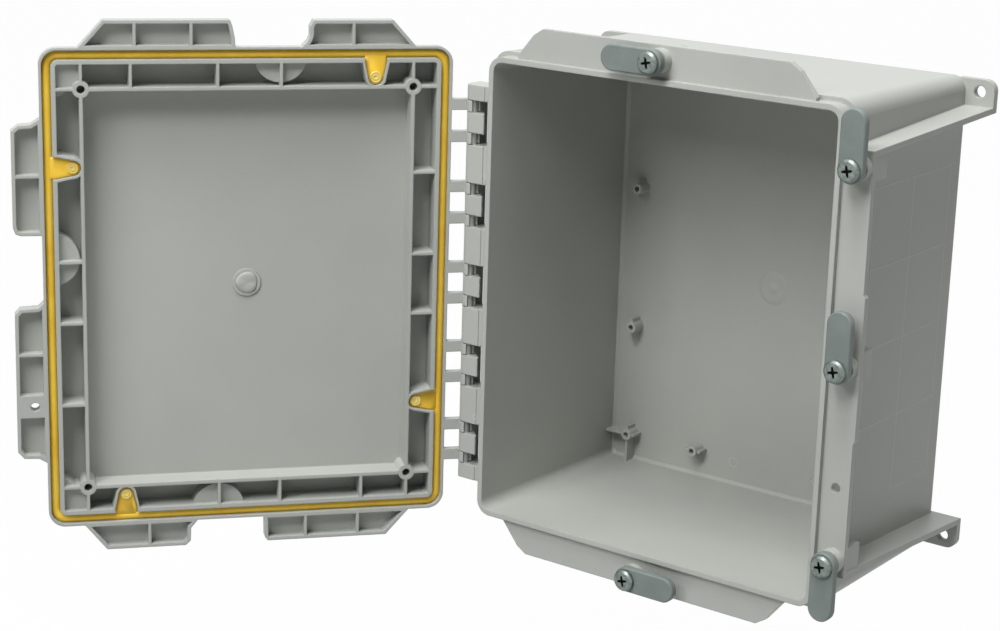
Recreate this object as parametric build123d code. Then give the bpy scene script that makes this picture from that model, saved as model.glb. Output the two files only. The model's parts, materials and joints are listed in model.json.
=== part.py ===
from build123d import *
import math
import os

os.makedirs("parts", exist_ok=True)

# Frame: millimetres, Z up, X to the right of someone facing the box, Y into the wall.
# The wall plane is y = 0 and the mouth of the box faces -Y.
# The cover is drawn shut and then turned about the hinge into the rest pose, which is open.

# Box body
mouth_y = -160.0
mouth_half_x = 126.0
mouth_half_z = 152.4
mouth_corner = 6.5
rim_wall = 3.6
wall_thick = 6.5
floor_thick = 6.0
shell_draft = 0.8
cavity_draft = 0.82
shell_corner = 11.0
back_round = 5.0
cavity_bevel = 2.0
rim_height = 10.0
flange_thick = 4.0
shell_front = mouth_y + rim_height
flange_drop = 3.0
flange_front = mouth_y + flange_drop
flange_back = flange_front + flange_thick
shell_half_x = mouth_half_x + wall_thick
shell_half_z = mouth_half_z + wall_thick

# Swing clamps: where they turn, and their bars
clamp_offset = 15.15
clamp_pivot_x = mouth_half_x + clamp_offset
clamp_pivot_z = mouth_half_z + clamp_offset
clamp_corner_z = mouth_half_z - 31.1
clamp_middle_z = 1.0
clamp_thick = 4.5
clamp_r = 8.2
clamp_reach = 28.0
clamp_edge = 0.7

# Flange plates round the mouth
side_flange_x = clamp_pivot_x + 7.7
side_flange_wide = 1.2
side_wide_half = 45.0
top_flange_z = clamp_pivot_z + 9.4
top_flange_base = mouth_half_x - 17.0
top_flange_slope = 16.0

# Mounting ears and the shelves that carry them
ear_hole_x = mouth_half_x + 14.5
ear_hole_z = mouth_half_z - 4.4
ear_hole_r = 4.0
ear_thick = 5.0
ear_corner = 7.0
ear_edge_x = ear_hole_x + 10.0
ear_edge_z = ear_hole_z + 8.0
shelf_thick = 3.7
shelf_front_z = clamp_corner_z + 10.4
shelf_back_z = ear_hole_z - 8.9

# Hinge
rim_margin = 6.6
hinge_x = -(mouth_half_x + rim_margin + 13.7)
hinge_y = mouth_y + 6.6
open_angle = 129.6
knuckle_r = 4.3
knuckle_end = 11.8
rod_r = 2.75
hook_bore_r = 2.85
hook_r = 4.4
hook_mouth_half = 48.0
hook_mouth_turn = 21.5
window_pitch = 55.0
window_half = 14.9
window_reach = 10.3
middle_reach = 11.7
strip_half = 2 * window_pitch + window_half + 10.0
hook_inner = 7.0
hook_outer = 14.4
middle_half = 6.6
hook_sweep = 9.3
window_back = hinge_y + hook_sweep + 0.6
strip_back = window_back + 1.5

# Cover, drawn shut
edge_y = mouth_y + 2.2
groove_floor_y = mouth_y - 2.5
rim_front_y = mouth_y - 4.7
panel_inner_y = mouth_y - 15.3
panel_thick = 3.0
panel_front_y = panel_inner_y - panel_thick
rim_corner = 11.0
rim_half_x = mouth_half_x + rim_margin
rim_half_z = mouth_half_z + rim_margin
groove_wall = 1.7
groove_half_x = rim_half_x - groove_wall
groove_half_z = rim_half_z - groove_wall
skirt_half_x = mouth_half_x - 0.8
skirt_half_z = mouth_half_z - 1.0
skirt_corner = 4.8
skirt_wall = 3.0
rib_wall_half_x = skirt_half_x - 17.3
rib_wall_half_z = skirt_half_z - 17.7
rib_wall_thick = 2.4
rib_thick = 2.0
rib_at = 20.4
rib_far = 75.6
cover_boss_r = 5.4
cover_hole_r = 2.6
scoop_r = 15.3
corner_scoop_r = 13.3
scoop_wall = 2.0
scoop_inset = 6.4
pod_floor_y = rim_front_y + 0.1
pod_front_y = rim_front_y - 2.1
pod_wall = 2.3
lock_hole_x = clamp_pivot_x - 1.55
lock_hole_z = -75.6
lock_hole_r = 3.0

# Gasket, its four tabs and their rivets
gasket_face_y = mouth_y - 0.1
play = 0.05
tab_at = mouth_half_x - 44.0
tab_half = 7.3
tab_tip_r = 5.2
tab_pin = 9.6
tab_wall = 1.6
rivet_r = 1.5
rivet_head_r = 3.9

# Clamp screws, washers and inserts
clamp_back = rim_front_y - 1.3
clamp_front = clamp_back - clamp_thick
boss_r = 7.7
neck_front = mouth_y - 3.6
screw_r = 3.175
screw_head_r = 7.0
screw_head_thick = 3.6
screw_tip_y = neck_front + 10.6
turning_bore_r = 3.26
washer_r = 6.0
washer_thick = 1.0
insert_bore_r = 3.25
insert_r = 4.5
insert_long = 10.0

# Bosses on the back wall
panel_boss_tall = 10.6
panel_boss_r = 4.0
panel_hole_r = 1.9
panel_hole_deep = 9.6
fin_tall = 9.5
fin_half = 0.9
fin_reach = 6.3


def face_at(y):
    """Local x is X, local y is Z, and the normal points out of the box."""
    return Plane(origin=(0, y, 0), x_dir=(1, 0, 0), z_dir=(0, -1, 0))


def prism(sketch, y_back, y_front):
    return extrude(face_at(y_back) * sketch, amount=y_back - y_front)


def rounded(half_x, half_z, corner):
    return RectangleRounded(2 * half_x, 2 * half_z, corner)


def rectangle(x0, x1, z0, z1):
    return Pos((x0 + x1) / 2, (z0 + z1) / 2) * Rectangle(abs(x1 - x0), abs(z1 - z0))


def slab(half_x, half_z, corner, y_back, y_front):
    return prism(rounded(half_x, half_z, corner), y_back, y_front)


def tapered(half_x, half_z, corner, y_from, y_to, draft):
    """A rounded block that shrinks from y_from to y_to."""
    direction = 1 if y_to > y_from else -1
    start = Plane(origin=(0, y_from, 0), x_dir=(1, 0, 0), z_dir=(0, direction, 0))
    return extrude(start * rounded(half_x, half_z, corner), amount=abs(y_to - y_from), taper=draft)


def outline(points):
    return make_face(Polyline(*points, close=True))


def block(x0, x1, y0, y1, z0, z1):
    middle = ((x0 + x1) / 2, (y0 + y1) / 2, (z0 + z1) / 2)
    return Pos(*middle) * Box(abs(x1 - x0), abs(y1 - y0), abs(z1 - z0))


def disc(x, z, radius, y_back, y_front):
    return prism(Pos(x, z) * Circle(radius), y_back, y_front)


def six_sided(radius):
    return RegularPolygon(radius, 6)


def upright(sketch, z0, z1):
    return Pos(0, 0, z0) * extrude(sketch, amount=z1 - z0)


# Where each clamp turns, which way it points at rest, and where its scoop in the cover lies
scoop_x = rim_half_x - scoop_inset
scoop_z = rim_half_z - scoop_inset
corner_scoop_z = clamp_corner_z + rib_at
clamps = {
    "top": {"pivot": (0.0, clamp_pivot_z), "points": 180},
    "right_top": {"pivot": (clamp_pivot_x, clamp_corner_z), "points": 90},
    "right_mid": {"pivot": (clamp_pivot_x, clamp_middle_z), "points": 90},
    "right_low": {"pivot": (clamp_pivot_x, -clamp_corner_z), "points": -90},
    "bottom": {"pivot": (0.0, -clamp_pivot_z), "points": 0},
}
scoops = [(-rib_at, scoop_z), (scoop_x, clamp_middle_z + rib_at), (rib_at, -scoop_z)]
window_centres = [window_pitch * step for step in (-2, -1, 0, 1, 2)]


def shell_and_rim():
    shell = tapered(shell_half_x, shell_half_z, shell_corner, shell_front, 0, shell_draft)
    shell = fillet(shell.faces().sort_by(Axis.Y)[-1].edges(), back_round)
    outer = (mouth_half_x + rim_wall, mouth_half_z + rim_wall, mouth_corner + rim_wall)
    return shell + slab(*outer, shell_front, mouth_y)


def side_flange():
    """The right flange, a little wider along its middle."""
    inner = shell_half_x - 4
    wide_x = side_flange_x + side_flange_wide
    points = [
        (inner, -shelf_front_z),
        (side_flange_x, -shelf_front_z),
        (side_flange_x, -side_wide_half - 1),
        (wide_x, -side_wide_half + 1),
        (wide_x, side_wide_half - 1),
        (side_flange_x, side_wide_half + 1),
        (side_flange_x, shelf_front_z),
        (inner, shelf_front_z),
    ]
    return prism(outline(points), flange_back, flange_front)


def end_flange(level):
    """The top or bottom flange, with sloping ends and clipped corners."""
    tip = top_flange_base - top_flange_slope
    half = [
        (top_flange_base, shell_half_z - 4),
        (top_flange_base, shell_half_z - 1),
        (tip + 4, top_flange_z - 4.4),
        (tip - 3, top_flange_z),
    ]
    points = half + [(-x, z) for x, z in reversed(half)]
    return prism(outline([(x, level * z) for x, z in points]), flange_back, flange_front)


def shelf_and_ear(side, level):
    """A sloping shelf from the flange to the wall, with the drilled ear that it stiffens."""
    front = shelf_front_z
    back = shelf_back_z
    inner = mouth_half_x
    height = [
        (flange_front + 2, level * front),
        (0.0, level * back),
        (0.0, level * (back - shelf_thick)),
        (flange_front + 2, level * (front - shelf_thick)),
    ]
    flank = Plane(origin=(side * (inner - 6), 0, 0), x_dir=(0, 1, 0), z_dir=(1, 0, 0))
    shelf = extrude(flank * outline(height), amount=side * 40)
    width = [(inner, flange_front + 2), (side_flange_x, flange_front + 2), (ear_edge_x, 0.0), (inner, 0.0)]
    tall = shell_half_z + 20
    shelf &= upright(outline([(side * x, y) for x, y in width]), -tall, tall)
    low = back - shelf_thick
    ear = rectangle(side * inner, side * (ear_edge_x - ear_corner), level * low, level * ear_edge_z)
    ear += rectangle(side * inner, side * ear_edge_x, level * low, level * (ear_edge_z - ear_corner))
    ear += Pos(side * (ear_edge_x - ear_corner), level * (ear_edge_z - ear_corner)) * Circle(ear_corner)
    return shelf + prism(ear, 0, -ear_thick)


def screw_boss(px, pz):
    return disc(px, pz, boss_r, flange_back, neck_front)


def boss_backing():
    """Blocks behind the flanges that the screw bosses stand on."""
    inner = shell_half_x - 4
    outer = side_flange_x - 0.4
    backing = block(inner, outer, flange_back - 1, flange_back + 14, clamp_middle_z - 9, clamp_middle_z + 9)
    for level in (-1, 1):
        low = level * (clamp_corner_z - 8.1)
        high = level * (shelf_front_z - 1)
        backing += block(inner, outer, flange_back - 1, flange_back + 15, low, high)
        backing += disc(0, level * clamp_pivot_z, boss_r, flange_back + 18, flange_back)
        web_top = level * (clamp_pivot_z + 4)
        backing += block(-3, 3, flange_back, flange_back + 22, level * (shell_half_z - 4), web_top)
    return backing


def hinge_strip():
    """Flat-fronted knuckles with a moulded rod across each window between them."""
    low_x = -(shell_half_x - 4)
    knuckle = Pos(hinge_x, hinge_y) * Circle(knuckle_r)
    knuckle += rectangle(hinge_x - knuckle_r, hinge_x + knuckle_end, hinge_y, strip_back)
    knuckle += rectangle(hinge_x, hinge_x + knuckle_end, hinge_y - knuckle_r, strip_back)
    knuckle += rectangle(hinge_x, low_x, hinge_y - knuckle_r + 0.4, strip_back)
    strip = upright(knuckle, -strip_half, strip_half)
    for zc in window_centres:
        low, high = zc - window_half, zc + window_half
        strip -= block(hinge_x - 10, low_x, hinge_y - 10, hinge_y + 2.4, low, high)
        strip -= block(hinge_x - 10, hinge_x + window_reach, hinge_y - 10, strip_back + 5, low, high)
        strip += block(hinge_x - knuckle_r, hinge_x + rod_r, window_back, strip_back, low - 1, high + 1)
    front_y = hinge_y - knuckle_r
    middle = Pos(hinge_x, hinge_y) * Circle(knuckle_r)
    middle += outline(
        [
            (hinge_x, front_y),
            (hinge_x + middle_reach, front_y),
            (hinge_x + middle_reach, front_y + 1.2),
            (hinge_x + 4.2, hinge_y + knuckle_r),
            (hinge_x, hinge_y + knuckle_r),
        ]
    )
    for zc in window_centres:
        strip += upright(Pos(hinge_x, hinge_y) * Circle(rod_r), zc - window_half - 0.5, zc + window_half + 0.5)
        strip += upright(middle, zc - middle_half, zc + middle_half)
    return strip


def fins(x, z, left, right, down, up):
    """Thin fins on the floor, running out from a boss by the four given reaches."""
    bars = rectangle(x - left, x + right, z - fin_half, z + fin_half)
    bars += rectangle(x - fin_half, x + fin_half, z - down, z + up)
    return prism(bars, -floor_thick + 1, -floor_thick - fin_tall)


def panel_bosses():
    """One corner's three bosses on the back wall. Fins run along the walls, and to them at the corner."""
    far_x = mouth_half_x - 19.8
    far_z = mouth_half_z - 22.1
    to_side = mouth_half_x - 2.0 - far_x
    to_end = mouth_half_z - 2.0 - far_z
    short = fin_reach
    spots = [
        (far_x, 0.33 * mouth_half_z, (1, 1, short, short)),
        (0.4 * mouth_half_x, far_z, (short, short, 1, 1)),
        (far_x, far_z, (short, to_side, short, to_end)),
    ]
    top = -floor_thick - panel_boss_tall
    solids = []
    for x, z, reaches in spots:
        boss = disc(x, z, panel_boss_r, -floor_thick + 1, top) + fins(x, z, *reaches)
        solids.append(boss - disc(x, z, panel_hole_r, top + panel_hole_deep, top - 1))
    return solids


# Body: shell, flanges, ears, bosses and hinge strip, then the cavity and the holes
body = shell_and_rim() + side_flange()
for level in (-1, 1):
    body += end_flange(level)
    for side in (-1, 1):
        body += shelf_and_ear(side, level)
body += boss_backing()
for place in clamps.values():
    body += screw_boss(*place["pivot"])
body += hinge_strip()
cavity = tapered(mouth_half_x, mouth_half_z, mouth_corner, mouth_y, -floor_thick, cavity_draft)
body -= chamfer(cavity.faces().sort_by(Axis.Y)[-1].edges(), cavity_bevel)
for boss in panel_bosses():
    upper = boss + mirror(boss, about=Plane.YZ)
    body += upper + mirror(upper, about=Plane.XY)
body -= disc(2.0, -4.0, 10.5, -floor_thick + 0.8, -floor_thick - 0.5)
for place in clamps.values():
    px, pz = place["pivot"]
    body -= prism(Pos(px, pz) * six_sided(insert_r), neck_front + insert_long, neck_front - 1)
    body -= disc(px, pz, screw_r + 0.2, screw_tip_y + 1.7, neck_front)
for side in (-1, 1):
    for level in (-1, 1):
        body -= disc(side * ear_hole_x, level * ear_hole_z, ear_hole_r, 1, -ear_thick - 1)
body -= disc(lock_hole_x, lock_hole_z, lock_hole_r, flange_back + 1, flange_front - 1)


# Cover: pan, skirt and the rim that holds the gasket groove, hollow inside
boss_x = rib_wall_half_x - rib_wall_thick / 2
boss_z = rib_wall_half_z - rib_wall_thick / 2
half_rib = rib_thick / 2
deep_y = panel_inner_y - 0.5


def pan_and_rim():
    pan = tapered(skirt_half_x, skirt_half_z, skirt_corner, groove_floor_y, panel_front_y, 3.0)
    pan = chamfer(pan.faces().sort_by(Axis.Y)[0].edges(), 1.8)
    shape = pan + slab(skirt_half_x, skirt_half_z, skirt_corner, edge_y, groove_floor_y)
    shape += slab(rim_half_x, rim_half_z, rim_corner, groove_floor_y, rim_front_y)
    ring = slab(rim_half_x, rim_half_z, rim_corner, edge_y, groove_floor_y)
    ring -= slab(groove_half_x, groove_half_z, rim_corner - 1.4, edge_y + 1, groove_floor_y - 1)
    inner = (skirt_half_x - skirt_wall, skirt_half_z - skirt_wall, skirt_corner - 3.0)
    return shape + ring - slab(*inner, edge_y + 1, panel_inner_y)


def rib_grid():
    """The rib wall, the cross ribs that tie it to the skirt, and the corner bosses."""
    ribs = slab(rib_wall_half_x, rib_wall_half_z, 0.6, edge_y, deep_y)
    inner = (rib_wall_half_x - rib_wall_thick, rib_wall_half_z - rib_wall_thick, 0.6)
    ribs -= slab(*inner, edge_y + 1, deep_y - 1)
    inner_x = skirt_half_x - skirt_wall + 0.5
    inner_z = skirt_half_z - skirt_wall + 0.5
    for level in (-1, 1):
        for x in (rib_at, -rib_at, level * rib_far, boss_x, -boss_x):
            ribs += block(x - half_rib, x + half_rib, edge_y, deep_y, level * boss_z, level * inner_z)
        for z in (rib_at, -rib_at, -level * rib_far, boss_z, -boss_z):
            ribs += block(level * boss_x, level * inner_x, edge_y, deep_y, z - half_rib, z + half_rib)
        for side in (-1, 1):
            ribs += disc(side * boss_x, level * boss_z, cover_boss_r, edge_y, deep_y)
    return ribs


def scoop_bulge(cx, cz, radius):
    inside = slab(skirt_half_x - 1, skirt_half_z - 1, 3.0, groove_floor_y, deep_y)
    return disc(cx, cz, radius + scoop_wall, groove_floor_y, deep_y) & inside


cover = pan_and_rim() + rib_grid()
for cx, cz in scoops:
    cover += scoop_bulge(cx, cz, scoop_r)
for level in (-1, 1):
    cover += scoop_bulge(scoop_x, level * corner_scoop_z, corner_scoop_r)
    cover += block(boss_x, skirt_half_x - 1.5, groove_floor_y, deep_y, level * boss_z, level * (skirt_half_z - 1.5))
for cx, cz in scoops:
    cover -= disc(cx, cz, scoop_r, rim_front_y, panel_front_y - 2)
for level in (-1, 1):
    recess = rectangle(boss_x + half_rib, rim_half_x + 5, level * (boss_z + half_rib), level * (rim_half_z + 5))
    recess += Pos(scoop_x, level * corner_scoop_z) * Circle(corner_scoop_r)
    recess -= Pos(boss_x, level * boss_z) * Circle(cover_boss_r)
    cover -= prism(recess, rim_front_y, panel_front_y - 2)
    for side in (-1, 1):
        cover -= disc(side * boss_x, level * boss_z, cover_hole_r, edge_y + 1, edge_y - 12)
cover += disc(0, 0, 9.3, panel_inner_y + 0.8, deep_y)


def tab_shape(half, tip_r, rise):
    """Seen with the skirt's inner face at local y = 0 and the tab pointing to -y."""
    sides = [(-half, rise), (-half, 0), (-tip_r, -tab_pin), (tip_r, -tab_pin), (half, 0), (half, rise)]
    return outline(sides) + Pos(0, -tab_pin) * Circle(tip_r)


# Four tab pockets: a walled recess on the skirt that opens into the gasket groove
skirt_inner_x = skirt_half_x - skirt_wall
skirt_inner_z = skirt_half_z - skirt_wall
tab_places = [
    Pos(-tab_at, skirt_inner_z) * Rot(0, 0, 0),
    Pos(tab_at, -skirt_inner_z) * Rot(0, 0, 180),
    Pos(skirt_inner_x, tab_at) * Rot(0, 0, -90),
    Pos(-skirt_inner_x, -tab_at) * Rot(0, 0, 90),
]
for place in tab_places:
    cover += prism(place * tab_shape(tab_half + tab_wall, tab_tip_r + tab_wall, skirt_wall / 2), edge_y, deep_y)
for place in tab_places:
    cover -= prism(place * tab_shape(tab_half, tab_tip_r, skirt_wall + 0.2), edge_y + 1, groove_floor_y)
    cover -= prism(place * Pos(0, -tab_pin) * six_sided(rivet_r), edge_y, groove_floor_y - 5)

# Six pods round the rim, each an open tray with ribs. A profile lists steps from a stop on the
# edge and from the rim outwards.
flange_stop = top_flange_base
bar_tip = clamp_reach + clamp_r
pods = [
    {
        "edge": "top",
        "from": (flange_stop, [(0, -1), (-16.5, 17.3)]),
        "to": (clamp_r, [(4.3, 17.3), (2.8, 13), (1.4, 6), (0.8, -1)]),
        "ribs": [72.9, 37.2],
    },
    {
        "edge": "top",
        "from": (-bar_tip, [(3.2, -1), (-1.6, 4.2), (-2.7, 7), (-2.7, 12.8), (-4.8, 17)]),
        "to": (-flange_stop, [(16, 17), (0, -1)]),
        "ribs": [-67.2],
    },
    {
        "edge": "right",
        "from": (clamp_corner_z, [(-6.8, -1), (-10.9, 5.9), (-11.3, 13.4), (-14.9, 18)]),
        "to": (clamp_middle_z + bar_tip, [(6.8, 18.2), (2.8, 16.7), (1.6, 13.4), (1.4, -1)]),
        "ribs": [77.0],
    },
    {
        "edge": "right",
        "from": (clamp_middle_z - clamp_r, [(2.2, -1), (-2.0, 3.6), (-2.6, 15), (-6.4, 18.4)]),
        "to": (-clamp_corner_z, [(15.3, 18.8), (10.7, 14.8), (10.3, 5.4), (6.5, -1)]),
        "ribs": [-40.6, lock_hole_z + 6.8, lock_hole_z - 6.4],
    },
    {
        "edge": "bottom",
        "from": (bar_tip, [(-2.2, -1), (3.2, 5.6), (3.4, 14.4), (6.8, 17.6)]),
        "to": (flange_stop, [(-14, 17.6), (1, -1)]),
        "ribs": [66.8],
    },
    {
        "edge": "bottom",
        "from": (-clamp_r, [(-0.8, -1), (-2.0, 3.6), (-2.1, 15), (-4.1, 17.4)]),
        "to": (-flange_stop, [(16, 17.4), (-0.5, -1)]),
        "ribs": [-37.9, -73.6],
    },
]


def pod_tray(pod):
    steps = []
    for stop, profile in (pod["from"], pod["to"]):
        steps += [(stop + along, outward) for along, outward in profile]
    if pod["edge"] == "right":
        points = [(rim_half_x + outward, along) for along, outward in steps]
    else:
        level = 1 if pod["edge"] == "top" else -1
        points = [(along, level * (rim_half_z + outward)) for along, outward in steps]
    shape = outline(points)
    tray = prism(shape, edge_y, pod_front_y)
    tray -= prism(offset(shape, -pod_wall), edge_y + 1, pod_floor_y)
    across = prism(offset(shape, -pod_wall / 2), edge_y, pod_front_y)
    far_x = 2 * rim_half_x
    far_z = 2 * rim_half_z
    for at in pod["ribs"]:
        if pod["edge"] == "right":
            rib = block(mouth_half_x, far_x, edge_y, pod_front_y, at - half_rib, at + half_rib)
        else:
            rib = block(at - half_rib, at + half_rib, edge_y, pod_front_y, -far_z, far_z)
        tray += rib & across
    return tray


for pod in pods:
    cover += pod_tray(pod)

# The padlock pad fills one bay of the lower right pod
cover += block(rim_half_x - 1, rim_half_x + 17.4, edge_y, pod_front_y, lock_hole_z - 6.4, lock_hole_z + 6.8)
cover -= disc(lock_hole_x, lock_hole_z, lock_hole_r, edge_y + 1, pod_front_y - 1)


def hook_profile():
    """A ring with an open mouth, and the shank that joins it to the cover's rim."""
    shank = [
        (-3.6, -2.5),
        (0.5, edge_y - 4.8 - hinge_y),
        (-rim_half_x + 1.1 - hinge_x, edge_y - 4.8 - hinge_y),
        (-rim_half_x + 1.1 - hinge_x, edge_y - hinge_y),
        (4.0, edge_y - hinge_y),
        (3.9, -2.4),
        (0, 0),
    ]
    reach = 2 * hook_r
    half = reach * math.tan(math.radians(hook_mouth_half))
    mouth = Rot(0, 0, hook_mouth_turn) * outline([(0, 0), (half, reach), (-half, reach)])
    return Circle(hook_r) + outline(shank) - Circle(hook_bore_r) - mouth


for zc in window_centres:
    for side in (-1, 1):
        low = min(side * hook_inner, side * hook_outer)
        hook = Pos(hinge_x, hinge_y) * hook_profile()
        cover += upright(hook, zc + low, zc + low + hook_outer - hook_inner)


# Gasket and its rivets, drawn shut
gasket = slab(groove_half_x - play, groove_half_z - play, rim_corner - 1.45, gasket_face_y, groove_floor_y)
gasket -= slab(skirt_half_x + play, skirt_half_z + play, skirt_corner + play, gasket_face_y + 1, groove_floor_y - 1)
rivets = None
for place in tab_places:
    tab = tab_shape(tab_half - 0.1, tab_tip_r - 0.1, skirt_wall + 0.2)
    gasket += prism(place * tab, gasket_face_y, groove_floor_y)
for place in tab_places:
    pin = place * Pos(0, -tab_pin)
    gasket -= prism(pin * six_sided(rivet_r), gasket_face_y + 1, groove_floor_y - 1)
    rivet = prism(pin * six_sided(rivet_r), gasket_face_y, groove_floor_y - 4.6)
    rivet += prism(pin * Circle(rivet_head_r), gasket_face_y + 0.9, gasket_face_y)
    rivets = rivet if rivets is None else rivets + rivet


def opened(shape):
    """Turns a shape drawn shut about the hinge into the open rest pose."""
    return Pos(hinge_x, hinge_y, 0) * Rot(0, 0, -open_angle) * Pos(-hinge_x, -hinge_y, 0) * shape


def save(shape, name):
    if isinstance(shape, (list, ShapeList)):
        shape = Compound(children=list(shape))
    export_step(shape, f"parts/{name}.step")
    print(name, round(shape.volume / 1000, 2), "cm3", len(shape.solids()), "solids")


save(body, "body")
save(opened(cover), "cover")
save(opened(gasket), "gasket")
save(opened(rivets), "gasket_rivets")


# Clamp sets: clamp, screw, washer and insert at each of the five places
def clamp_shape(px, pz, points):
    bar = rectangle(0, clamp_reach, -clamp_r, clamp_r)
    bar += Circle(clamp_r)
    bar += Pos(clamp_reach, 0) * Circle(clamp_r)
    solid = prism(Pos(px, pz) * Rot(0, 0, points) * bar, clamp_back, clamp_front)
    solid = chamfer(solid.faces().sort_by(Axis.Y)[0].edges(), clamp_edge)
    return solid - disc(px, pz, turning_bore_r, clamp_back + 1, clamp_front - 1)


def screw_shape(px, pz):
    """A pan-head screw with a cross recess."""
    seat = clamp_front - 0.05
    top = seat - screw_head_thick
    head = disc(px, pz, screw_head_r, seat, top)
    head = chamfer(head.faces().sort_by(Axis.Y)[0].edges(), 1.3)
    screw = head + disc(px, pz, screw_r, screw_tip_y, seat)
    for turn in (12, 102):
        slot = Pos(px, pz) * Rot(0, 0, turn) * Rectangle(6.0, 1.25)
        screw -= prism(slot, top + 1.8, top - 1)
    return screw


def washer_shape(px, pz):
    seat = clamp_back + play
    ring = disc(px, pz, washer_r, seat + washer_thick, seat)
    return ring - disc(px, pz, turning_bore_r, seat + washer_thick + 1, seat - 1)


def insert_shape(px, pz):
    """A six-sided brass sleeve, open at both ends, moulded into the boss."""
    sleeve = prism(Pos(px, pz) * six_sided(insert_r), neck_front + insert_long, neck_front)
    return sleeve - disc(px, pz, insert_bore_r, neck_front + insert_long + 1, neck_front - 1)


for name, place in clamps.items():
    px, pz = place["pivot"]
    save(clamp_shape(px, pz, place["points"]), f"clamp_{name}")
    save(screw_shape(px, pz), f"screw_{name}")
    save(washer_shape(px, pz), f"washer_{name}")
    save(insert_shape(px, pz), f"insert_{name}")
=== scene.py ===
import bmesh
import bpy
import json
import math
from mathutils import Matrix, Vector


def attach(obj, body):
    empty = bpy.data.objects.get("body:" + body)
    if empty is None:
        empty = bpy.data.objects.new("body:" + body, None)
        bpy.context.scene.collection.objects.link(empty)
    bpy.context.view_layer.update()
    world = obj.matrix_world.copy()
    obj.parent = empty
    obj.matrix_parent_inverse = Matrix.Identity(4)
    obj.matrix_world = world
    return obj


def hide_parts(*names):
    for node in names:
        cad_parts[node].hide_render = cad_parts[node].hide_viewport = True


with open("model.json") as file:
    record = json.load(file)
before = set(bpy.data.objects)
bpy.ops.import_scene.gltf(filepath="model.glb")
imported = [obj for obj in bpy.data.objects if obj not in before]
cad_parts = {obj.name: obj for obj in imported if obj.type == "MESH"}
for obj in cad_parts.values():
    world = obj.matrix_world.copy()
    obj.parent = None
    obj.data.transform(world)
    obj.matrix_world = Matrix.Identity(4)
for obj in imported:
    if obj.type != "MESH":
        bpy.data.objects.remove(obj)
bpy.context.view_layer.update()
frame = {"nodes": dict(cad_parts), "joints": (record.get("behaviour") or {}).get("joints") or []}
nodes = frame["nodes"]
print("scene: frame loaded with", len(nodes), "nodes")

clampNames = ["top", "right_top", "right_mid", "right_low", "bottom"]
mm = 0.001


# Small helpers for node trees
def addNode(tree, kind, **sockets):
    node = tree.nodes.new(kind)
    for name, value in sockets.items():
        node.inputs[name].default_value = value
    return node


def join(tree, source, out, target, into):
    tree.links.new(source.outputs[out], target.inputs[into])


# Puts a number on a socket, or joins another node's output to it
def feed(tree, value, socket):
    if isinstance(value, (int, float)):
        socket.default_value = value
    else:
        tree.links.new(value, socket)


def maths(tree, operation, first, second=0.0):
    node = tree.nodes.new("ShaderNodeMath")
    node.operation = operation
    feed(tree, first, node.inputs[0])
    feed(tree, second, node.inputs[1])
    return node.outputs["Value"]


def times(tree, first, second):
    return maths(tree, "MULTIPLY", first, second)


def minus(tree, first, second):
    return maths(tree, "SUBTRACT", first, second)


def positive(tree, value):
    return maths(tree, "ABSOLUTE", value)


# 1 where the value lies under the limit, falling to 0 over the given softness
def under(tree, value, limit, soft):
    node = tree.nodes.new("ShaderNodeMapRange")
    feed(tree, value, node.inputs["Value"])
    node.inputs["From Min"].default_value = limit
    node.inputs["From Max"].default_value = limit + soft
    node.inputs["To Min"].default_value = 1.0
    node.inputs["To Max"].default_value = 0.0
    return node.outputs["Result"]


def give(piece, material):
    piece.data.materials.clear()
    piece.data.materials.append(material)


def newMaterial(name):
    material = bpy.data.materials.new(name)
    material.use_nodes = True
    tree = material.node_tree
    shader = tree.nodes["Principled BSDF"]
    return material, tree, shader


def twoTones(tree, factor, dark, light, low, high):
    ramp = tree.nodes.new("ShaderNodeValToRGB")
    ramp.color_ramp.elements[0].position = low
    ramp.color_ramp.elements[0].color = (*dark, 1)
    ramp.color_ramp.elements[1].position = high
    ramp.color_ramp.elements[1].color = (*light, 1)
    tree.links.new(factor, ramp.inputs["Fac"])
    return ramp.outputs["Color"]


def mixColour(tree, factor, first, second):
    node = tree.nodes.new("ShaderNodeMixRGB")
    tree.links.new(factor, node.inputs["Fac"])
    tree.links.new(first, node.inputs["Color1"])
    node.inputs["Color2"].default_value = (*second, 1)
    return node.outputs["Color"]


def noise(tree, place, scale, detail):
    node = addNode(tree, "ShaderNodeTexNoise", Scale=scale, Detail=detail)
    join(tree, place, "Object", node, "Vector")
    return node.outputs["Fac"]


# Roughness that wanders a little to either side of the look's own
def wanderingSheen(tree, factor, shader, look, skin):
    sheen = addNode(tree, "ShaderNodeMapRange")
    sheen.inputs["To Min"].default_value = look["roughness"] - skin["glossier"]
    sheen.inputs["To Max"].default_value = look["roughness"] + skin["duller"]
    tree.links.new(factor, sheen.inputs["Value"])
    join(tree, sheen, "Result", shader, "Roughness")


edgeSamples = 4


def softEdge(tree, look):
    edge = tree.nodes.new("ShaderNodeBevel")
    edge.samples = edgeSamples
    edge.inputs["Radius"].default_value = look["edgeRadius"]
    return edge.outputs["Normal"]


def raised(tree, height, normal, strength, depth):
    bump = addNode(tree, "ShaderNodeBump", Strength=strength, Distance=depth)
    tree.links.new(height, bump.inputs["Height"])
    tree.links.new(normal, bump.inputs["Normal"])
    return bump.outputs["Normal"]


# Moulded plastic: two close tones in soft patches, a fine moulded skin, lightly rounded edges, and fine
# raised marks where a function for them is given, which are also painted lighter as a painted highlight
mouldSkin = {
    "patchDetail": 4.0,
    "patchLow": 0.35,
    "patchHigh": 0.65,
    "glossier": 0.05,
    "duller": 0.06,
    "markStrength": 0.6,
    "markDepth": 0.0003,
    "grainDetail": 3.0,
    "grainDepth": 0.0002,
}


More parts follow.
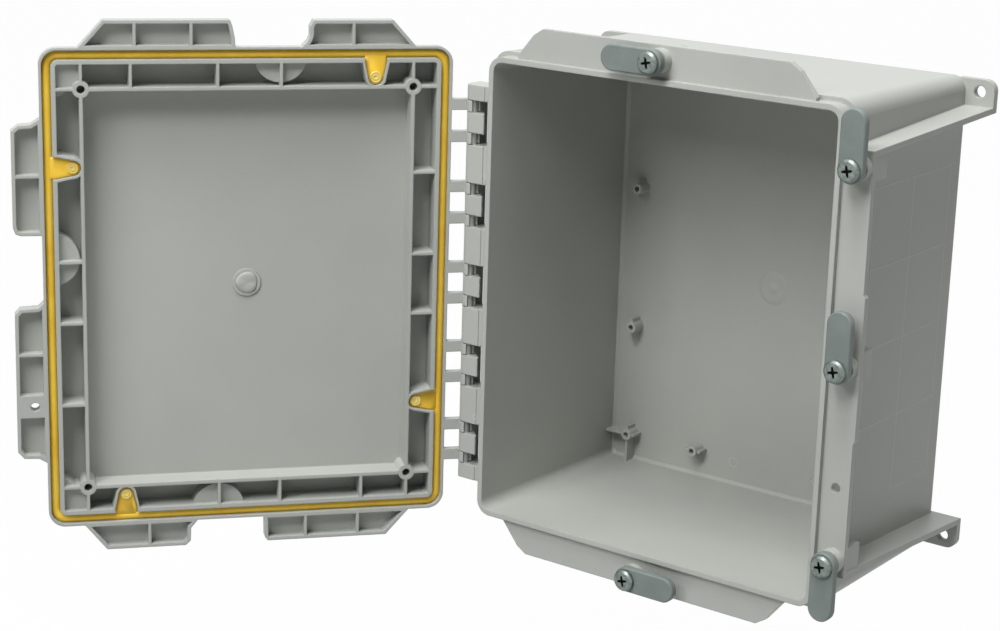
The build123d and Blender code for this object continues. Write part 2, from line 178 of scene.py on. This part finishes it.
def mouldedPlastic(name, look, marks=None):
    material, tree, shader = newMaterial(name)
    place = addNode(tree, "ShaderNodeTexCoord")
    skin = mouldSkin
    patches = noise(tree, place, look["patchScale"], skin["patchDetail"])
    tone = twoTones(tree, patches, look["darkTone"], look["lightTone"], skin["patchLow"], skin["patchHigh"])
    wanderingSheen(tree, patches, shader, look, skin)
    normal = softEdge(tree, look)
    if marks is not None:
        mask = marks(tree, place)
        # painted highlight: the marks are mixed towards a lighter tone
        tone = mixColour(tree, times(tree, mask, look["markHighlightShare"]), tone, look["markHighlightTone"])
        normal = raised(tree, mask, normal, skin["markStrength"], skin["markDepth"])
    tree.links.new(tone, shader.inputs["Base Color"])
    grain = noise(tree, place, look["skinScale"], skin["grainDetail"])
    normal = raised(tree, grain, normal, look["skinStrength"], skin["grainDepth"])
    tree.links.new(normal, shader.inputs["Normal"])
    shader.inputs["Specular IOR Level"].default_value = look["gloss"]
    return material


# Marks in the body's skin: the drilling grid scribed on its right wall, and rings left by ejector pins on
# the hinge strip and on the back wall. They are raised as a bump and painted lighter, a painted highlight
# of light catching them
scribeGrid = {
    "pitchZ": 50.8 * mm,
    "reachZ": 102.2 * mm,
    "lastY": -17.0 * mm,
    "pitchY": 50.5 * mm,
    "firstY": -118.4 * mm,
    "wallX": 128.3 * mm,
    "line": 0.22 * mm,
}
pinRings = [
    {"x": -133.7 * mm, "z": 74.3 * mm, "radius": 1.7 * mm, "frontY": -150 * mm},
    {"x": -135.3 * mm, "z": -90.0 * mm, "radius": 1.7 * mm, "frontY": -150 * mm},
    {"x": -21.9 * mm, "z": -134.3 * mm, "radius": 3.2 * mm, "frontY": 0.0},
]
ringLine = 0.2 * mm


def squareOff(tree, value, middle):
    return maths(tree, "POWER", positive(tree, minus(tree, value, middle)), 2.0)


def bodyMarks(tree, place):
    parts = tree.nodes.new("ShaderNodeSeparateXYZ")
    join(tree, place, "Object", parts, "Vector")
    x, y, z = parts.outputs["X"], parts.outputs["Y"], parts.outputs["Z"]
    grid = scribeGrid
    soft = grid["line"]
    fromRow = maths(tree, "PINGPONG", z, grid["pitchZ"] / 2)
    fromColumn = maths(tree, "PINGPONG", minus(tree, y, grid["lastY"]), grid["pitchY"] / 2)
    nearest = maths(tree, "MINIMUM", fromRow, fromColumn)
    mask = under(tree, nearest, grid["line"], soft)
    inside = [
        under(tree, positive(tree, z), grid["reachZ"], soft),
        under(tree, y, grid["lastY"] + 2 * soft, soft),
        under(tree, times(tree, y, -1.0), -grid["firstY"], soft),
        under(tree, times(tree, x, -1.0), -grid["wallX"], soft),
    ]
    for part in inside:
        mask = times(tree, mask, part)
    for ring in pinRings:
        squares = maths(tree, "ADD", squareOff(tree, x, ring["x"]), squareOff(tree, z, ring["z"]))
        away = maths(tree, "SQRT", squares)
        off = positive(tree, minus(tree, away, ring["radius"]))
        inFront = under(tree, y, ring["frontY"], soft)
        line = times(tree, under(tree, off, ringLine, ringLine), inFront)
        mask = maths(tree, "MAXIMUM", mask, line)
    return mask


housingLook = {
    "darkTone": (0.385, 0.400, 0.372),
    "lightTone": (0.420, 0.436, 0.404),
    "patchScale": 9.0,
    "roughness": 0.42,
    "skinScale": 900.0,
    "skinStrength": 0.12,
    "edgeRadius": 0.0010,
    "gloss": 0.4,
    # lighter tone painted on the body's marks as a painted highlight
    "markHighlightShare": 0.55,
    "markHighlightTone": (0.62, 0.62, 0.61),
}
clampLook = {
    "darkTone": (0.158, 0.188, 0.177),
    "lightTone": (0.188, 0.220, 0.208),
    "patchScale": 60.0,
    "roughness": 0.48,
    "skinScale": 1500.0,
    "skinStrength": 0.15,
    "edgeRadius": 0.0008,
    "gloss": 0.4,
}
gasketLook = {
    "darkTone": (0.82, 0.50, 0.030),
    "lightTone": (0.91, 0.61, 0.060),
    "patchScale": 40.0,
    "roughness": 0.42,
    "skinScale": 1200.0,
    "skinStrength": 0.25,
    "edgeRadius": 0.0004,
    "gloss": 0.45,
}
rivetLook = {
    "darkTone": (0.78, 0.58, 0.130),
    "lightTone": (0.88, 0.69, 0.200),
    "patchScale": 80.0,
    "roughness": 0.35,
    "skinScale": 1500.0,
    "skinStrength": 0.1,
    "edgeRadius": 0.0003,
    "gloss": 0.5,
}


# Plated metal: dull spots over a fine grain, and near-black painted shade in and just around the screws'
# cross recess
platedSkin = {
    "spotDetail": 5.0,
    "spotLow": 0.3,
    "spotHigh": 0.7,
    "glossier": 0.08,
    "duller": 0.1,
    "grainStrength": 0.1,
    "grainDepth": 0.0001,
}


def platedMetal(name, look, recess=None):
    material, tree, shader = newMaterial(name)
    place = addNode(tree, "ShaderNodeTexCoord")
    skin = platedSkin
    spots = noise(tree, place, look["spotScale"], skin["spotDetail"])
    tone = twoTones(tree, spots, look["darkTone"], look["lightTone"], skin["spotLow"], skin["spotHigh"])
    if recess is not None:
        # painted shade: the cross recess and a narrow rim around it are mixed to near-black
        tone = mixColour(tree, recess(tree, place), tone, look["recessShadeTone"])
    tree.links.new(tone, shader.inputs["Base Color"])
    wanderingSheen(tree, spots, shader, look, skin)
    normal = raised(tree, spots, softEdge(tree, look), skin["grainStrength"], skin["grainDepth"])
    tree.links.new(normal, shader.inputs["Normal"])
    shader.inputs["Metallic"].default_value = look["metal"]
    return material


# The painted shade of the cross lies at the top of the head, a little wider than the recess, measured in mm
# across the screw's own box, and its depth as a share of the screw's length
crossRecessShade = {
    "headWidth": 14.0,
    "turn": math.radians(12),
    "armLong": 3.4,
    "armHalf": 0.92,
    "taper": 0.12,
    "soft": 0.25,
    "deepest": 0.12,
    "depthSoft": 0.01,
}


# Mask of the painted shade over the cross recess on each screw head
def screwRecessShade(tree, place):
    parts = tree.nodes.new("ShaderNodeSeparateXYZ")
    join(tree, place, "Generated", parts, "Vector")
    look = crossRecessShade
    x, z = [
        times(tree, minus(tree, parts.outputs[axis], 0.5), look["headWidth"])
        for axis in ("X", "Z")
    ]
    cosine = math.cos(look["turn"])
    sine = math.sin(look["turn"])
    u = positive(tree, maths(tree, "ADD", times(tree, x, cosine), times(tree, z, sine)))
    v = positive(tree, minus(tree, times(tree, z, cosine), times(tree, x, sine)))
    arms = []
    for length, width in ((u, v), (v, u)):
        narrow = maths(tree, "ADD", width, times(tree, length, look["taper"]))
        arm = under(tree, narrow, look["armHalf"], look["soft"])
        arms.append(times(tree, arm, under(tree, length, look["armLong"], look["soft"])))
    cross = maths(tree, "MAXIMUM", arms[0], arms[1])
    shallow = under(tree, parts.outputs["Y"], look["deepest"], look["depthSoft"])
    return times(tree, cross, shallow)


zincLook = {
    "darkTone": (0.130, 0.158, 0.146),
    "lightTone": (0.255, 0.290, 0.270),
    "spotScale": 380.0,
    "roughness": 0.42,
    "edgeRadius": 0.0004,
    "metal": 0.75,
    # near-black painted shade for the cross recess
    "recessShadeTone": (0.004, 0.005, 0.005),
}
brassLook = {
    "darkTone": (0.50, 0.34, 0.12),
    "lightTone": (0.62, 0.44, 0.18),
    "spotScale": 300.0,
    "roughness": 0.32,
    "edgeRadius": 0.0002,
    "metal": 0.95,
}

housing = mouldedPlastic("housingPlastic", housingLook)
bodyHousing = mouldedPlastic("bodyPlastic", housingLook, bodyMarks)
clampPlastic = mouldedPlastic("clampPlastic", clampLook)
gasketFoam = mouldedPlastic("gasketFoam", gasketLook)
rivetPlastic = mouldedPlastic("rivetPlastic", rivetLook)
zinc = platedMetal("zincPlate", zincLook)
# screws get the zinc with the painted shade in their cross recess
screwZinc = platedMetal("screwZincRecessShade", zincLook, screwRecessShade)
brass = platedMetal("insertBrass", brassLook)

give(nodes["body"], bodyHousing)
give(nodes["cover"], housing)
give(nodes["gasket"], gasketFoam)
give(nodes["gasket_rivets"], rivetPlastic)
for name in clampNames:
    give(nodes["clamp_" + name], clampPlastic)
    give(nodes["screw_" + name], screwZinc)
    give(nodes["washer_" + name], zinc)
    give(nodes["insert_" + name], brass)
print("scene: materials on every node")

# Pieces on the cover are drawn shut, as the part is, and then turned open about the hinge
hinge = next(joint for joint in frame["joints"] if joint["name"] == "cover_hinge")
hingeAt = Vector(hinge["pos_m"])
openAngle = math.radians(hinge["range_deg"][1])
openTurn = Matrix.Rotation(-openAngle, 4, "Z")
swing = Matrix.Translation(hingeAt) @ openTurn @ Matrix.Translation(-hingeAt)


# A closed piece from loops of points, each joined to the next. Its end loops are capped, or
# joined to each other
def loftPiece(name, loops, material, capped, body="cover"):
    shape = bmesh.new()
    turned = swing if body == "cover" else Matrix.Identity(4)
    rings = [[shape.verts.new(turned @ Vector(point)) for point in loop] for loop in loops]
    pairs = list(zip(rings, rings[1:]))
    if not capped:
        pairs.append((rings[-1], rings[0]))
    for ringA, ringB in pairs:
        for i in range(len(ringA)):
            j = (i + 1) % len(ringA)
            shape.faces.new((ringA[i], ringA[j], ringB[j], ringB[i]))
    if capped:
        shape.faces.new(rings[0])
        shape.faces.new(rings[-1])
    bmesh.ops.recalc_face_normals(shape, faces=shape.faces)
    data = bpy.data.meshes.new(name)
    shape.to_mesh(data)
    shape.free()
    for face in data.polygons:
        face.use_smooth = True
    piece = bpy.data.objects.new(name, data)
    bpy.context.scene.collection.objects.link(piece)
    give(piece, material)
    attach(piece, body)
    return piece


def roundedLoop(halfX, halfZ, corner, steps):
    points = []
    corners = [(1, 1, 0), (-1, 1, 90), (-1, -1, 180), (1, -1, 270)]
    for cornerX, cornerZ, start in corners:
        for step in range(steps + 1):
            angle = math.radians(start + 90 * step / steps)
            x = cornerX * (halfX - corner) + corner * math.cos(angle)
            z = cornerZ * (halfZ - corner) + corner * math.sin(angle)
            points.append((x, z))
    return points


def ringLoop(radius, centre, steps):
    points = []
    for step in range(steps):
        angle = 2 * math.pi * step / steps
        points.append((radius * math.cos(angle), centre + radius * math.sin(angle)))
    return points


# Gasket: a crowned bead of foam that stands in the cover's groove. Lengths are in mm
bead = {
    "innerX": 125.25,
    "innerZ": 151.45,
    "innerCorner": 4.85,
    "outerX": 130.80,
    "outerZ": 157.20,
    "outerCorner": 9.5,
    "crownY": -160.12,
    "shoulderY": -161.75,
    "floorY": -162.45,
    "crownPower": 2.4,
    "across": 12,
    "cornerSteps": 10,
}


def makeBead(look):
    loops = []
    heights = [(0.0, look["floorY"])]
    for step in range(look["across"] + 1):
        share = step / look["across"]
        fall = abs(2 * share - 1) ** look["crownPower"]
        heights.append((share, look["crownY"] + (look["shoulderY"] - look["crownY"]) * fall))
    heights.append((1.0, look["floorY"]))
    for share, y in heights:
        sizes = [
            look["inner" + size] + share * (look["outer" + size] - look["inner" + size])
            for size in ("X", "Z", "Corner")
        ]
        flat = roundedLoop(*sizes, look["cornerSteps"])
        loops.append([(x * mm, y * mm, z * mm) for x, z in flat])
    return loftPiece("gasketBead", loops, gasketFoam, False)


# Gasket tabs: each runs from under the bead through the skirt to a rivet at its round tip.
# Each level is an inset from the outline and the Y where it lies
tab = {
    "half": 7.15,
    "tipRadius": 5.05,
    "pin": 9.6,
    "rise": 5.2,
    "tipSteps": 16,
    "levels": [(0.0, -162.4), (0.0, -161.1), (0.25, -160.65), (0.9, -160.38), (2.2, -160.3)],
    "skirtX": 122.2,
    "skirtZ": 148.4,
    "offMiddle": 82.0,
}
tabPlaces = [
    {"at": (-tab["offMiddle"], tab["skirtZ"]), "turn": 0},
    {"at": (tab["offMiddle"], -tab["skirtZ"]), "turn": 180},
    {"at": (tab["skirtX"], tab["offMiddle"]), "turn": -90},
    {"at": (-tab["skirtX"], -tab["offMiddle"]), "turn": 90},
]


# Puts an outline drawn at a tab's root into its place on the cover
def placed(place, points, y):
    turn = math.radians(place["turn"])
    atX, atZ = place["at"]
    loop = []
    for u, v in points:
        x = atX + u * math.cos(turn) - v * math.sin(turn)
        z = atZ + u * math.sin(turn) + v * math.cos(turn)
        loop.append((x * mm, y * mm, z * mm))
    return loop


def tabOutline(look, inset):
    half = look["half"] - inset
    tip = look["tipRadius"] - inset
    points = [(-half, look["rise"]), (-half, 0.0)]
    for step in range(look["tipSteps"] + 1):
        angle = math.radians(180 + 180 * step / look["tipSteps"])
        points.append((tip * math.cos(angle), -look["pin"] + tip * math.sin(angle)))
    points += [(half, 0.0), (half, look["rise"])]
    return points


# Rivets: flat heads with two turned rings, each over a tab's tip. The profile is the radius and
# the height over the tab
rivet = {
    "profile": [
        (3.85, 0.02), (3.80, 0.55), (3.45, 0.90), (3.00, 0.95), (2.70, 0.62), (2.25, 0.60),
        (1.95, 0.92), (1.45, 0.98), (1.15, 0.70), (0.60, 0.62), (0.05, 0.62),
    ],
    "baseY": -160.28,
    "steps": 28,
}


def makeTab(look, place, number):
    loops = [placed(place, tabOutline(look, inset), y) for inset, y in look["levels"]]
    return loftPiece("gasketTab" + str(number), loops, gasketFoam, True)


def makeRivet(look, place, number):
    loops = []
    for radius, high in look["profile"]:
        flat = ringLoop(radius, -tab["pin"], look["steps"])
        loops.append(placed(place, flat, look["baseY"] + high))
    return loftPiece("rivetHead" + str(number), loops, rivetPlastic, True)


gasketPieces = [makeBead(bead)]
rivetPieces = []
for number, place in enumerate(tabPlaces):
    gasketPieces.append(makeTab(tab, place, number))
    rivetPieces.append(makeRivet(rivet, place, number))
for piece in gasketPieces:
    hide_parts("gasket")
for piece in rivetPieces:
    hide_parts("gasket_rivets")
print("scene: gasket, tabs and rivet heads")

# Gate mark: the low broken lump that the moulding's feed left in the middle of the cover. Each
# level is a share of the radius and a share of the height
gateMark = {
    "radius": 6.9,
    "baseY": -174.55,
    "tall": 1.0,
    "steps": 36,
    "levels": [(1.08, 0.0), (1.0, 0.45), (0.93, 0.8), (0.72, 0.95), (0.45, 1.0), (0.2, 0.85), (0.02, 0.8)],
    "lobe": 0.035,
    "facet": 0.22,
    "facetTurn": 0.6,
    "fineFacet": 0.10,
    "facetReach": 0.8,
}


def makeGateMark(look):
    loops = []
    for share, rise in look["levels"]:
        loop = []
        for step in range(look["steps"]):
            angle = 2 * math.pi * step / look["steps"]
            facet = look["facet"] * math.cos(3 * angle + look["facetTurn"])
            facet += look["fineFacet"] * math.cos(5 * angle)
            radius = look["radius"] * share * (1 + look["lobe"] * math.cos(3 * angle))
            y = look["baseY"] + look["tall"] * rise * (1 + facet * min(share, look["facetReach"]))
            loop.append((radius * math.cos(angle) * mm, y * mm, radius * math.sin(angle) * mm))
        loops.append(loop)
    piece = loftPiece("gateMark", loops, housing, True)


# Its match on the back wall is a soft blister, whose rim lies just inside the wall
wallMark = {
    "x": 2.0,
    "z": -4.0,
    "steps": 36,
    "profile": [
        (14.0, -3.5), (14.0, -5.93), (12.4, -5.96), (11.5, -6.05), (10.5, -6.38), (9.3, -6.60),
        (7.5, -6.66), (5.4, -6.60), (4.3, -6.58), (3.4, -6.80), (2.3, -7.15), (1.2, -7.32),
        (0.1, -7.35),
    ],
}


def makeWallMark(look):
    loops = []
    for radius, y in look["profile"]:
        flat = ringLoop(radius, 0.0, look["steps"])
        loops.append([((look["x"] + u) * mm, y * mm, (look["z"] + v) * mm) for u, v in flat])
    piece = loftPiece("wallMark", loops, bodyHousing, True, "box")


makeGateMark(gateMark)
makeWallMark(wallMark)
print("scene: gate marks")

# Camera, at the photograph's place
cameraLook = {
    "position": (0.74691, -1.30807, 0.37184),
    "turn": -0.6439,
    "tip": 0.2630,
    "roll": 0.0300,
    "lens": 81.107,
    "sensor": 36,
    "sightEnd": 60,
}


def makeCamera(look):
    turn = look["turn"]
    tip = look["tip"]
    roll = look["roll"]
    level = math.cos(tip)
    ahead = Vector((math.sin(turn) * level, math.cos(turn) * level, -math.sin(tip)))
    right = Vector((math.cos(turn), -math.sin(turn), 0))
    up = right.cross(ahead)
    across = math.cos(roll) * right + math.sin(roll) * up
    upward = math.cos(roll) * up - math.sin(roll) * right
    data = bpy.data.cameras.new("camera")
    data.sensor_width = look["sensor"]
    data.lens = look["lens"]
    data.clip_end = look["sightEnd"]
    camera = bpy.data.objects.new("camera", data)
    bpy.context.scene.collection.objects.link(camera)
    turned = Matrix((across, upward, -ahead)).transposed().to_4x4()
    camera.matrix_world = Matrix.Translation(look["position"]) @ turned
    bpy.context.scene.camera = camera


makeCamera(cameraLook)
print("scene: camera placed")

# Floor: white to the camera and in reflections, with the part's faint shadow kept on it
white = (1, 1, 1, 1)
floorLook = {
    "height": -0.30,
    "size": 16.0,
    "darkTone": (0.44, 0.44, 0.44),
    "lightTone": (0.45, 0.45, 0.45),
    "grainScale": 2.0,
    "roughness": 0.9,
    "paleness": 0.985,
}


def makeFloor(look):
    bpy.ops.mesh.primitive_plane_add(size=look["size"], location=(0, 0, look["height"]))
    floor = bpy.context.object
    floor.name = "floor"
    material, tree, shader = newMaterial("paleFloor")
    grain = addNode(tree, "ShaderNodeTexNoise", Scale=look["grainScale"])
    tone = twoTones(tree, grain.outputs["Fac"], look["darkTone"], look["lightTone"], 0.0, 1.0)
    tree.links.new(tone, shader.inputs["Base Color"])
    shader.inputs["Roughness"].default_value = look["roughness"]
    shader.inputs["Specular IOR Level"].default_value = 0.0
    pale = addNode(tree, "ShaderNodeEmission", Color=white, Strength=1.0)
    rays = tree.nodes.new("ShaderNodeLightPath")
    seen = maths(tree, "MAXIMUM", rays.outputs["Is Camera Ray"], rays.outputs["Is Glossy Ray"])
    blend = tree.nodes.new("ShaderNodeMixShader")
    tree.links.new(times(tree, seen, look["paleness"]), blend.inputs["Fac"])
    join(tree, shader, "BSDF", blend, 1)
    join(tree, pale, "Emission", blend, 2)
    join(tree, blend, "Shader", tree.nodes["Material Output"], "Surface")
    give(floor, material)


# World: dim light on the part, and white behind it, in its gloss and through it
worldLook = {"tone": (0.95, 0.97, 1.0, 1), "strength": 0.02}


def makeWorld(look):
    world = bpy.data.worlds.new("studio")
    bpy.context.scene.world = world
    world.use_nodes = True
    tree = world.node_tree
    dim = tree.nodes["Background"]
    dim.inputs["Color"].default_value = look["tone"]
    dim.inputs["Strength"].default_value = look["strength"]
    pale = addNode(tree, "ShaderNodeBackground", Color=white, Strength=1.0)
    rays = tree.nodes.new("ShaderNodeLightPath")
    mirrored = maths(tree, "MAXIMUM", rays.outputs["Is Glossy Ray"], rays.outputs["Is Transmission Ray"])
    seen = maths(tree, "MAXIMUM", rays.outputs["Is Camera Ray"], mirrored)
    blend = tree.nodes.new("ShaderNodeMixShader")
    tree.links.new(seen, blend.inputs["Fac"])
    join(tree, dim, "Background", blend, 1)
    join(tree, pale, "Background", blend, 2)
    join(tree, blend, "Shader", tree.nodes["World Output"], "Surface")


# Square lamps: where they hang, what they aim at, the side in metres and the power in watts
lamps = [
    {"name": "keyLamp", "at": (0.2, -1.9, 1.9), "to": (0.0, -0.1, 0.0), "size": 0.8, "power": 31.0},
    {"name": "leftLamp", "at": (-0.5, -2.35, 1.35), "to": (0.0, -0.1, 0.0), "size": 0.7, "power": 18.5},
    {"name": "steepLamp", "at": (0.1, -0.9, 2.4), "to": (0.0, -0.1, 0.0), "size": 0.9, "power": 43.0},
    {"name": "topLamp", "at": (0.1, 0.0, 2.4), "to": (0.0, -0.1, 0.0), "size": 1.2, "power": 21.0},
    {"name": "sideLamp", "at": (2.3, 0.4, 0.06), "to": (0.0, -0.1, -0.1), "size": 0.7, "power": 4.0},
]


def makeLamp(look):
    data = bpy.data.lights.new(look["name"], "AREA")
    data.shape = "SQUARE"
    data.size = look["size"]
    data.energy = look["power"]
    lamp = bpy.data.objects.new(look["name"], data)
    bpy.context.scene.collection.objects.link(lamp)
    lamp.location = look["at"]
    aim = Vector(look["to"]) - Vector(look["at"])
    lamp.rotation_euler = aim.to_track_quat("-Z", "Y").to_euler()
    lamp.visible_camera = False


makeFloor(floorLook)
makeWorld(worldLook)
for look in lamps:
    makeLamp(look)
bpy.context.scene.view_settings.view_transform = "Standard"
print("scene: floor, world and lamps")
